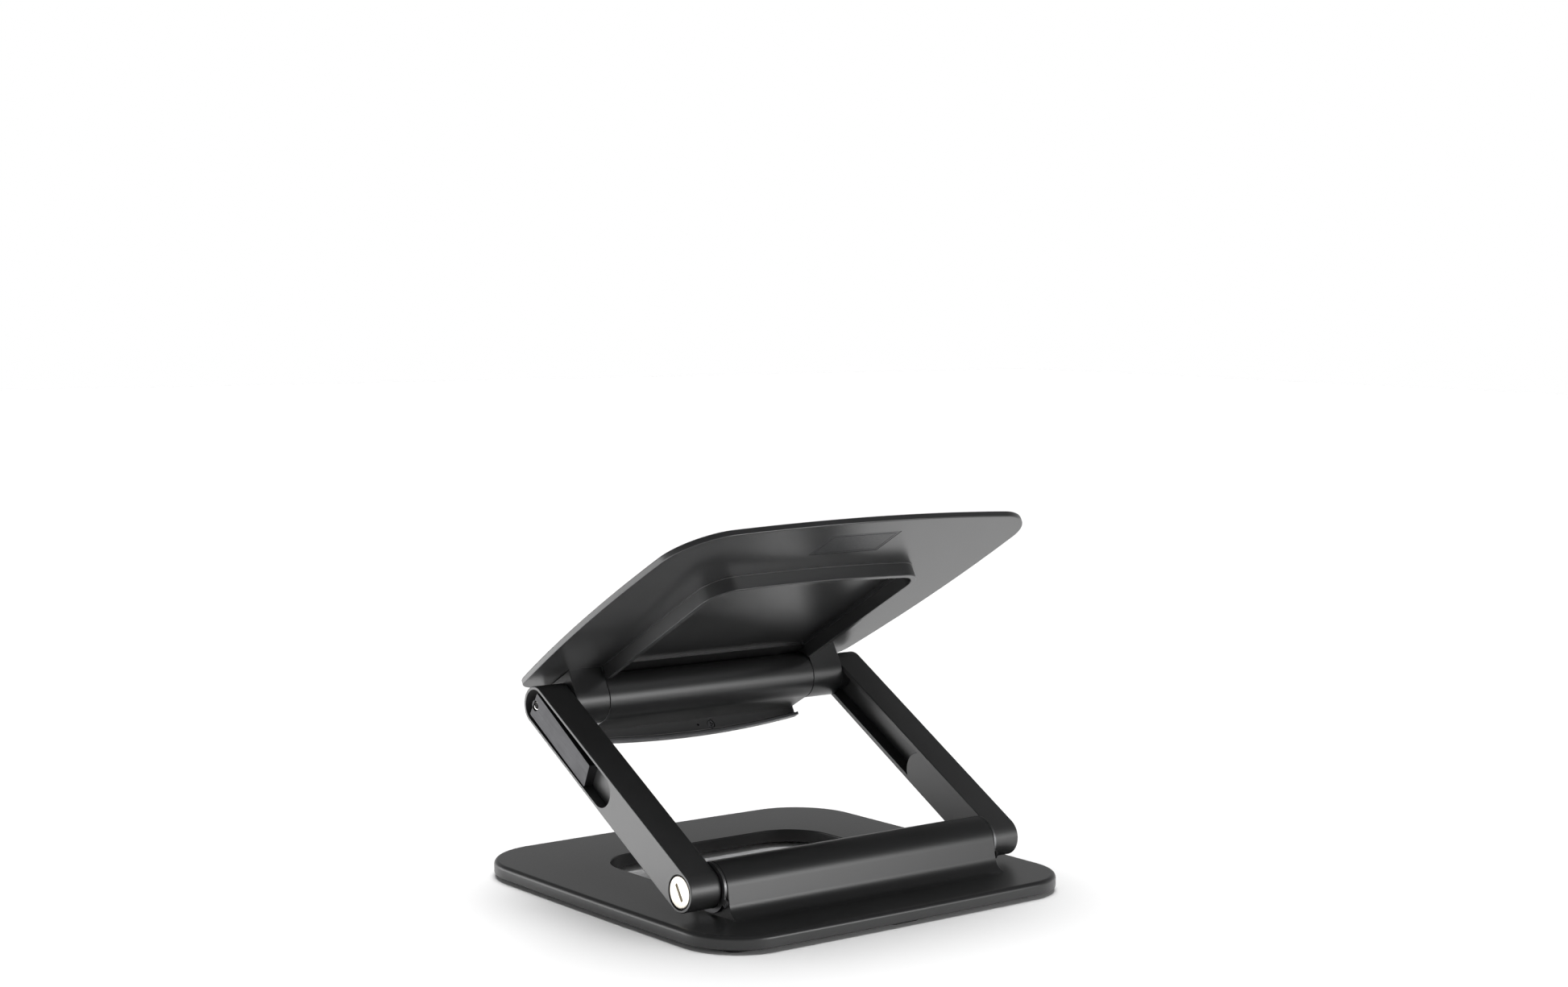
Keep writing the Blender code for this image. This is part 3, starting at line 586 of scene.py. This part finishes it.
def soft_look(name, colour, roughness, grain_mm):
    """Moulded plastic, silicone or rubber."""
    look = Look(name, colour, roughness)
    look.vary_roughness(700, roughness - 0.03, roughness + 0.03)
    look.vary_colour(160, tuple(c * 1.15 for c in colour))
    look.worn_edges(tuple(c * 2.5 for c in colour), 0.4)
    look.grain(1800, grain_mm)
    return look.material


COAT = coat_look("powder_coat_look", (0.0125, 0.0127, 0.0131), 0.345)
# The arms' copy of the base's powder coat, with its colour lighter than the base's: painted light for the brighter
# outer faces of the arms. It is also rougher, with a stronger specular.
ARM_COAT_PAINTED_LIGHT = coat_look("arm_coat_painted_light_look", (0.019, 0.0192, 0.0197), 0.4, 0.85)
TRAY_COAT = coat_look("tray_coat_look", (0.019, 0.0192, 0.0197), 0.3)
LEAF_METAL = metal_look("leaf_steel_look", (0.06, 0.06, 0.063), 0.42, (1, 0.05, 1))
NICKEL = metal_look("nickel_look", (0.72, 0.68, 0.6), 0.34, (1, 1, 1))
STEEL = metal_look("steel_look", (0.62, 0.62, 0.61), 0.14, (1, 1, 1))
DARK_STEEL = metal_look("dark_steel_look", (0.09, 0.09, 0.094), 0.36, (1, 1, 1))
PLATE_STEEL = metal_look("plate_steel_look", (0.2, 0.2, 0.205), 0.34, (1, 1, 1))
BLACK_PLASTIC = soft_look("black_plastic_look", (0.016, 0.016, 0.017), 0.55, 0.01)
DARK_PLASTIC = soft_look("dark_plastic_look", (0.048, 0.049, 0.051), 0.4, 0.004)
LABEL_PLASTIC = soft_look("label_plastic_look", (0.02, 0.0205, 0.0215), 0.4, 0.004)
RUBBER = soft_look("rubber_look", (0.014, 0.014, 0.014), 0.75, 0.02)
SILICONE = soft_look("silicone_look", (0.02, 0.02, 0.021), 0.62, 0.012)


# ---------------------------------------------------------------- base


def housing_profile():
    """The hinge housing's section: a round top over sloping flanks that flare into the base."""
    y, z = PIVOT
    slope = math.radians(FLANK_SLOPE)
    fillet_z = BASE_TOP + FLARE_RADIUS
    reach_y = (HOUSING_RADIUS + FLARE_RADIUS + (z - fillet_z) * math.sin(slope)) / math.cos(slope)
    back = arc((y + reach_y, fillet_z), FLARE_RADIUS, 268, 180 + FLANK_SLOPE, 24)
    front = arc((y - reach_y, fillet_z), FLARE_RADIUS, 360 - FLANK_SLOPE, 272, 24)
    top = arc((y, z), HOUSING_RADIUS, FLANK_SLOPE, 180 - FLANK_SLOPE, 64)
    inside = BASE_TOP - 3
    return [(back[0][0], inside)] + back + top + front + [(front[-1][0], inside)]


def cross_recess(axis_matrix, radius, depth):
    """A cross-shaped cutter for a screw's drive."""
    long_half, short_half = radius * 0.62, radius * 0.16
    loop = [
        (long_half, short_half), (short_half, short_half), (short_half, long_half),
        (-short_half, long_half), (-short_half, short_half), (-long_half, short_half),
        (-long_half, -short_half), (-short_half, -short_half), (-short_half, -long_half),
        (short_half, -long_half), (short_half, -short_half), (long_half, -short_half),
    ]
    cutter = slab("XY", [loop], -depth, depth)
    cutter.transform(axis_matrix)
    return cutter


AXIS_TURNS = {
    "+X": Matrix.Rotation(math.pi / 2, 4, "Y"),
    "+Y": Matrix.Rotation(-math.pi / 2, 4, "X"),
    "+Z": Matrix.Identity(4),
    "-Z": Matrix.Rotation(math.pi, 4, "X"),
}


def screw_mesh(head_radius, head_height, shank_radius, length):
    """A screw with a softened head and a cross recess. Its head's top is at the origin."""
    edge = head_radius * 0.12
    profile = [(0, 0), (head_radius - edge, 0), (head_radius, -edge), (head_radius, -head_height)]
    profile += [(shank_radius, -head_height), (shank_radius, -length), (0, -length)]
    return cut(turned(profile, 32), cross_recess(WORLD, head_radius, head_height * 0.6))


def add_screws(prefix, mesh, axis, body, place=WORLD):
    """Puts a screw on each CAD screw of that prefix, centred on the CAD node's own box."""
    inverse = place.inverted()
    for name in sorted(frame["nodes"]):
        if not name.startswith(prefix):
            continue
        points = [inverse @ vert.co for vert in frame["nodes"][name].data.vertices]
        low = Vector([min(p[i] for p in points) for i in range(3)])
        high = Vector([max(p[i] for p in points) for i in range(3)])
        middle = (low + high) / 2
        heads = {
            "+Z": (middle.x, middle.y, high.z),
            "-Z": (middle.x, middle.y, low.z),
            "+Y": (middle.x, high.y, middle.z),
        }
        copy = mesh.copy()
        copy.transform(Matrix.Translation(heads[axis]) @ AXIS_TURNS[axis])
        piece(f"{name}_look", copy, body, DARK_STEEL, place, [name])


def make_base_plate():
    plate = slab("XY", [base_outline()], BASE_BOTTOM, BASE_TOP, 0.8, 2.5, 7)
    half = HOUSING_HALF_WIDTH
    plate = join(plate, slab("YZ", [housing_profile()], -half, half, 0.5, 0.5))
    y = PIVOT[0]
    hollow = [(y - HOUSING_BORE, 0), (y + HOUSING_BORE, 0)] + arc(PIVOT, HOUSING_BORE, 0, 180, 24)
    pocket = [base_outline(COVER_INSET - GAP), opening_outline(COVER_INSET - GAP)]
    plate = cut(
        plate,
        slab("YZ", [hollow], HOUSING_END_WALL - half, half - HOUSING_END_WALL),
        sunk("XY", opening_outline(), 0, BASE_TOP, 0.7),
        slab("XY", pocket, 0, COVER_TOP + GAP),
        slab("YZ", [circle(PIVOT, BOLT_RADIUS + 2 * GAP)], -half - 10, half + 10),
    )
    piece("base_plate_look", plate, "base", COAT, nodes=["base_plate"])


def make_base_cover():
    """The bottom cover, with a counterbore and a hole for each CAD screw, and its screws."""
    loops = [base_outline(COVER_INSET), opening_outline(COVER_INSET)]
    cover = slab("XY", loops, COVER_BOTTOM, COVER_TOP, 0.4, 0.2)
    tools = []
    for name in sorted(frame["nodes"]):
        if name.startswith("cover_screw"):
            low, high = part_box(name)
            middle = (low + high) / 2 / MM
            tools.append(slab("XY", [circle((middle.x, middle.y), 3.3, 40)], 0, COVER_BOTTOM + 1.4))
            tools.append(slab("XY", [circle((middle.x, middle.y), 1.8, 24)], 0, COVER_TOP + 1))
    cover = cut(cover, *tools)
    piece("base_cover_look", cover, "base", BLACK_PLASTIC, nodes=["base_cover"])
    add_screws("cover_screw", screw_mesh(3.0, 1.0, 1.5, 5.8), "-Z", "base")


def make_feet():
    """Oval rubber feet with a shallow hollow in the sole."""
    rim = 3
    for name in sorted(frame["nodes"]):
        if name.startswith("base_foot"):
            low, high = (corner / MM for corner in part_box(name))
            radius = (high.y - low.y) / 2
            loop = rounded_box(low.x, high.x, low.y, high.y, (radius,) * 4)
            foot = slab("XY", [loop], low.z, high.z, 0.7, 0.1)
            inner = rounded_box(low.x + rim, high.x - rim, low.y + rim, high.y - rim, (radius - rim,) * 4)
            hollow = slab("XY", [inner], -1, 0.35)
            piece(f"{name}_look", cut(foot, hollow), "base", RUBBER, nodes=[name])


def make_stop_plates():
    """Steel plates between arm and housing, with a square stop tip at their lower back."""
    tip = STOP_TIP_ANGLE
    half_tip = STOP_TIP_HALF_ANGLE
    loop = arc(PIVOT, STOP_PLATE_RADIUS, tip + half_tip, tip + 360 - half_tip, 96)
    loop += arc(PIVOT, STOP_TIP_RADIUS, tip - half_tip, tip + half_tip, 3)
    near = HOUSING_HALF_WIDTH + GAP
    far = reach("hinge_stop_plate_left")[1]
    plate = slab("YZ", [loop, circle(PIVOT, BOLT_RADIUS + 2 * GAP)], near, far, 0.2, 0.2, 3)
    pair("hinge_stop_plate", plate, "base", PLATE_STEEL)


# ---------------------------------------------------------------- arms


def pocket_outline():
    """The pocket in an arm's inner face, from the insert's round nose to a round boss at the upper end."""
    half_turn = math.degrees(math.asin(POCKET_HALF_WIDTH / ARM_RADIUS))
    nose = arc((ARM_RADIUS - INSERT_TIP, 0), ARM_RADIUS, 180 + half_turn, 180 - half_turn, 32)
    boss = arc((-ARM_LENGTH, 0), ARM_RADIUS, half_turn, -half_turn, 32)
    return nose + boss


def make_arms():
    pivot = (0, 0)
    upper = (-ARM_LENGTH, 0)
    through = (ARM_INNER - 5, ARM_OUTER + 1)
    arm = slab("YZ", [stadium(0, ARM_LENGTH, ARM_RADIUS, 40)], ARM_INNER, ARM_OUTER, 0.5, 0.55)
    arm = cut(
        arm,
        sunk("YZ", stadium(RECESS_START, ARM_LENGTH, RECESS_RADIUS), RECESS_FLOOR, ARM_OUTER, 0.2),
        mirror_depth(sunk("YZ", pocket_outline(), -POCKET_FLOOR, -ARM_INNER, 0.35)),
        sunk("YZ", circle(pivot, BOLT_HEAD_RADIUS + 0.7), ARM_OUTER - HEAD_SEAT, ARM_OUTER, 0.3),
        slab("YZ", [circle(pivot, BOLT_RADIUS + GAP, 40)], *through),
        slab("YZ", [circle(upper, PIN_RADIUS + GAP, 32)], *through),
        slab("YZ", [circle(upper, SHAFT_RADIUS + GAP, 40)], through[0], SHAFT_SHOULDER + GAP),
    )
    # The arms take the lighter copy of the coat, whose colour is painted light.
    pair("arm", arm, "arms", ARM_COAT_PAINTED_LIGHT, ARM_FRAME, ["arm", "arm_insert"])


def make_leaves():
    """The flat steel leaves in the arms' outer recesses."""
    outline = softened([(-along, across) for along, across in LEAF_CORNERS], 0.7)
    bore = circle((-ARM_LENGTH, 0), PIN_RADIUS + GAP, 40)
    leaf = slab("YZ", [outline, bore], RECESS_FLOOR + GAP, LEAF_FACE, 0, 0.3)
    pair("hinge_leaf", leaf, "arms", LEAF_METAL, ARM_FRAME)


def make_bolts():
    """The lower hinge's bolts, whose slotted heads lie flush with the arms' outer faces."""
    head = BOLT_HEAD_RADIUS
    profile = [(0, 0), (head - 0.9, 0), (head - 0.25, -0.3), (head, -0.9), (head, -2)]
    profile += [(BOLT_RADIUS, -2), (BOLT_RADIUS, -BOLT_LENGTH), (0, -BOLT_LENGTH)]
    bolt = turned(profile, 72)
    bolt.transform(Matrix.Translation((ARM_OUTER * MM, 0, 0)) @ AXIS_TURNS["+X"])
    corners = (0.4,) * 4
    loop = rounded_box(-SLOT_HALF_LENGTH, SLOT_HALF_LENGTH, -SLOT_HALF_WIDTH, SLOT_HALF_WIDTH, corners, 4)
    slot_cutter = sunk("YZ", loop, ARM_OUTER - SLOT_DEPTH, ARM_OUTER, 0.2)
    slot_cutter.transform(Matrix.Rotation(SLOT_ANGLE, 4, "X"))
    pair("pivot_bolt", cut(bolt, slot_cutter), "arms", NICKEL, ARM_FRAME)


def make_shafts():
    """The upper shafts, whose pins show in the leaves with a crescent-shaped step in their ends."""
    outer_end = LEAF_FACE - GAP
    shoulder = SHAFT_SHOULDER - outer_end
    inner_end = SHAFT_END - outer_end
    profile = [(0, 0), (PIN_RADIUS - 0.7, -0.05), (PIN_RADIUS - 0.15, -0.35), (PIN_RADIUS, -0.8)]
    profile += [(PIN_RADIUS, shoulder), (SHAFT_RADIUS, shoulder), (SHAFT_RADIUS, inner_end), (0, inner_end)]
    shaft = turned(profile, 48)
    shaft.transform(Matrix.Translation((outer_end * MM, -ARM_LENGTH * MM, 0)) @ AXIS_TURNS["+X"])
    across, up = PIN_HOLLOW_SHIFT
    hollow = slab("YZ", [circle((across - ARM_LENGTH, up), PIN_RADIUS, 40)], outer_end - 2.5, outer_end + 1)
    pair("upper_shaft", cut(shaft, hollow), "arms", STEEL, ARM_FRAME)


def mirror_depth(mesh):
    """Turns a cutter made for the outer side of an arm round to its inner side."""
    mesh.transform(Matrix.Scale(-1, 4, (1, 0, 0)))
    mesh.flip_normals()
    return mesh


# ---------------------------------------------------------------- tray


def make_tray_plate():
    plate = slab("XY", [tray_outline()], TRAY_BOTTOM, TRAY_TOP, 0.7, 1.1, 5)
    inside = FRAME_HALF_WIDTH - FRAME_WALL
    back = FRAME_BACK - FRAME_WALL - FRAME_BACK_BOW
    corner = FRAME_CORNER - FRAME_WALL
    floor = rounded_box(-inside, inside, FRAME_FRONT, back, (1, 1, corner, corner), 12)
    x0, x1, y0, y1 = PAD
    seats = []
    for low, high in ((x0 - GAP, x1 + GAP), (-x1 - GAP, -x0 + GAP)):
        seat = rounded_box(low, high, y0 - GAP, y1 + GAP, (PAD_CORNER + GAP,) * 4)
        seats.append(sunk("XY", seat, PAD_FLOOR, TRAY_TOP, 0.2))
    screw_places = ((TUBE_SCREW_X, 0), (-TUBE_SCREW_X, 0))
    plate = cut(
        plate,
        slab("XY", [floor], TRAY_BOTTOM - 5, FLOOR_LEVEL),
        slab("XY", [rounded_box(*LABEL, (1.0,) * 4, 6)], TRAY_BOTTOM - 5, TRAY_BOTTOM + 0.8),
        *seats,
        *[slab("XY", [circle(place, 2.7, 40)], TRAY_TOP - 1.6, TRAY_TOP + 2) for place in screw_places],
    )
    piece("tray_plate_look", plate, "tray", TRAY_COAT, TRAY_FRAME, ["tray_plate"])


def make_tray_frame():
    half, wall = FRAME_HALF_WIDTH, FRAME_WALL
    outer = frame_edge(half, FRAME_BACK, FRAME_CORNER)
    inner = frame_edge(half - wall, FRAME_BACK - wall, FRAME_CORNER - wall)
    top = TRAY_BOTTOM - 0.02
    levels = rounded_levels(FRAME_RIM, top - FLANGE[0], 0.45, 0.0, 4)
    levels += [(top - FLANGE[0], FLANGE[1] - 0.15), (top - FLANGE[0] + 0.15, FLANGE[1]), (top, FLANGE[1])]
    rim = lofted("XY", [outer + inner[::-1]], levels)
    piece("tray_frame_look", rim, "tray", TRAY_COAT, TRAY_FRAME, ["tray_frame"])


def make_lugs():
    top = TRAY_BOTTOM - 0.02
    loop = [(-BARREL_RADIUS, top)] + arc((0, 0), BARREL_RADIUS, 180, 360, 64) + [(BARREL_RADIUS, top)]
    lug = slab("YZ", [loop, circle((0, 0), SHAFT_RADIUS + GAP, 40)], *LUG, 0.35, 0.6)
    pair("tray_lug", lug, "tray", COAT, TRAY_FRAME)


def make_front_stop():
    half = TUBE_HALF_WIDTH
    inside_wall = STOP_WALL[1] - 1
    wall_bottom = FASCIA_BOTTOM + LIP_HEIGHT + GAP
    wall = [stop_outline(STOP_HALF_WIDTH, wall_bottom, STOP_TOP)]
    stop = join(
        slab("YZ", [circle((0, 0), BARREL_RADIUS, 120)], -half, half, 0.35, 0.35),
        slab("YZ", [box(inside_wall, -0.8, TONGUE[0] + 0.02, TONGUE[1])], -half, half, 0.2, 0.2),
        slab("XZ", wall, -STOP_WALL[1], -STOP_WALL[0], 0.4, 0.2),
        slab("YZ", [box(inside_wall, TRAY_FRONT - GAP, *DECK)], -half, half),
    )
    x, z = FASCIA_SCREW
    stop = cut(
        stop,
        slab("YZ", [circle((0, 0), BARREL_BORE)], -half - 5, half + 5),
        slab("XZ", [circle((x, z), 2.8, 40)], -STOP_WALL[1] - 1, -STOP_WALL[1] + 1.3),
        slab("XZ", [circle((x + 9.4, z + 0.6), 0.8, 24)], -STOP_WALL[1] - 1, -STOP_WALL[1] + 1.3),
    )
    piece("front_stop_look", stop, "tray", COAT, TRAY_FRAME, ["front_stop"])


def make_fascia():
    half = FASCIA_HALF_WIDTH
    bottom = FASCIA_BOTTOM
    lip = stop_arc(bottom, half) + stop_arc(bottom + LIP_HEIGHT, half)[::-1]
    fascia = join(
        slab("XZ", [stop_outline(half, bottom, STOP_TOP - GAP)], -FASCIA[1], -FASCIA[0], 0.2, 0.7),
        slab("XZ", [lip], -FASCIA_LIP, 1 - FASCIA[1], 0.4, 0.2),
    )
    piece("stop_fascia_look", fascia, "tray", DARK_PLASTIC, TRAY_FRAME, ["stop_fascia"])


def make_pads():
    face = rounded_box(*STOP_PAD, (3,) * 4)
    pad = slab("XZ", [face], -(LAPTOP_FRONT - 0.7), -(STOP_WALL[1] + GAP), 0.6, 0.1)
    piece("stop_pad_look", pad, "tray", SILICONE, TRAY_FRAME, ["stop_pad"])
    strip = slab("XY", [rounded_box(*PAD, (PAD_CORNER,) * 4)], PAD_FLOOR + GAP, LAPTOP_PLANE, 0.1, 0.5)
    pair("tray_pad", strip, "tray", SILICONE, TRAY_FRAME)


def make_label():
    x0, x1, y0, y1 = LABEL
    low = TRAY_BOTTOM + 0.1
    edge = rounded_box(x0 + GAP, x1 - GAP, y0 + GAP, y1 - GAP, (0.8,) * 4, 6)
    plate = slab("XY", [edge], low, low + 0.4, 0.05, 0)
    inner = rounded_box(x0 + 2, x1 - 2, y0 + 2, y1 - 2, (0.5,) * 4, 4)
    core = rounded_box(x0 + 2.5, x1 - 2.5, y0 + 2.5, y1 - 2.5, (0.3,) * 4, 4)
    label = cut(plate, slab("XY", [inner, core], low - 1, low + 0.12))
    piece("label_plate_look", label, "tray", LABEL_PLASTIC, TRAY_FRAME, ["label_plate"])


# ---------------------------------------------------------------- camera, floor and light


def make_camera():
    data = bpy.data.cameras.new("Camera")
    data.sensor_width = 36.0
    data.lens = 57.966
    data.shift_x = 0.0075
    data.shift_y = 0.0054
    data.clip_end = 50
    camera = bpy.data.objects.new("Camera", data)
    bpy.context.scene.collection.objects.link(camera)
    camera.location = (0.884965, 1.119733, 0.345692)
    camera.rotation_euler = [math.radians(angle) for angle in (84.916, -0.504, 141.766)]
    bpy.context.scene.camera = camera


def make_floor():
    mesh = bpy.data.meshes.new("floor")
    half = 6.0
    corners = [(x, y, 0) for x, y in box(-half, half, -half, half)]
    mesh.from_pydata(corners, [], [(0, 1, 2, 3)])
    floor = bpy.data.objects.new("floor", mesh)
    look = Look("floor_look", (0.93, 0.93, 0.93), 0.8)
    look.vary_roughness(3, 0.75, 0.85)
    mesh.materials.append(look.material)
    bpy.context.scene.collection.objects.link(floor)


def softbox(name, place, size, radiance, target=(0, 0, 0.1)):
    """A rectangular light that faces the stand or another target, as bright as asked whatever its size."""
    data = bpy.data.lights.new(name, "AREA")
    data.shape = "RECTANGLE"
    data.size, data.size_y = size
    data.energy = radiance * math.pi * size[0] * size[1]
    light = bpy.data.objects.new(name, data)
    light.location = place
    light.rotation_euler = (Vector(target) - Vector(place)).to_track_quat("-Z", "Y").to_euler()
    light.visible_camera = False
    bpy.context.scene.collection.objects.link(light)


def make_room():
    """A pale room, bright towards the horizon and dim overhead, that the camera sees as plain white."""
    world = bpy.data.worlds.new("studio")
    world.use_nodes = True
    nodes, links = world.node_tree.nodes, world.node_tree.links
    direction = nodes.new("ShaderNodeSeparateXYZ")
    links.new(nodes.new("ShaderNodeTexCoord").outputs["Generated"], direction.inputs["Vector"])
    room = nodes.new("ShaderNodeMapRange")
    room.interpolation_type = "SMOOTHSTEP"
    room.inputs["From Min"].default_value = 0.0
    room.inputs["From Max"].default_value = 0.6
    room.inputs["To Min"].default_value = 0.6
    room.inputs["To Max"].default_value = 0.1
    links.new(direction.outputs["Z"], room.inputs["Value"])
    backdrop = nodes.new("ShaderNodeMix")
    backdrop.data_type = "RGBA"
    backdrop.inputs["B"].default_value = (1, 1, 1, 1)
    links.new(nodes.new("ShaderNodeLightPath").outputs["Is Camera Ray"], backdrop.inputs["Factor"])
    links.new(room.outputs["Result"], backdrop.inputs["A"])
    links.new(backdrop.outputs["Result"], nodes["Background"].inputs["Color"])
    bpy.context.scene.world = world


def make_lights():
    """Two low softboxes, a bounce card on the ground beside the left arm and a soft light overhead."""
    scene = bpy.context.scene
    scene.view_settings.view_transform = "Standard"
    softbox("key", (-0.6, 1.4, 0.25), (0.8, 0.42), 7.5)
    softbox("side", (1.0, -1.3, 0.14), (1.3, 0.54), 2.6)
    softbox("bounce", (0.52, -0.42, 0.004), (0.76, 1.0), 2.0, (0.52, -0.42, 1.0))
    data = bpy.data.lights.new("soft_light", "SUN")
    data.energy = 3.3
    data.angle = math.radians(45)
    light = bpy.data.objects.new("soft_light", data)
    light.rotation_euler = Vector((0.1, 0.15, -0.97)).to_track_quat("-Z", "Y").to_euler()
    light.visible_glossy = False
    scene.collection.objects.link(light)


def colour_hidden_nodes():
    """Gives the CAD nodes that no piece stands for a look of this scene."""
    looks = {
        "bracket_screw": DARK_STEEL,
        "hinge_bracket": DARK_STEEL,
        "pivot_nut": DARK_STEEL,
        "upper_nut": DARK_STEEL,
        "pivot_washer": STEEL,
        "upper_washer": STEEL,
        "lug_screw": DARK_STEEL,
        "frame_screw": DARK_STEEL,
    }
    for node_name, node in frame["nodes"].items():
        for prefix, look in looks.items():
            if node_name.startswith(prefix):
                for slot in node.material_slots:
                    slot.material = look


make_base_plate()
make_base_cover()
make_feet()
make_stop_plates()
make_arms()
make_leaves()
make_bolts()
make_shafts()
make_tray_plate()
make_tray_frame()
make_lugs()
make_front_stop()
make_fascia()
make_pads()
make_label()
add_screws("fascia_screw", screw_mesh(2.5, 1.1, 1.0, 3.9), "+Y", "tray", TRAY_FRAME)
add_screws("tube_screw", screw_mesh(2.3, 1.2, 1.1, 6.6), "+Z", "tray", TRAY_FRAME)
colour_hidden_nodes()
make_camera()
make_floor()
make_room()
make_lights()
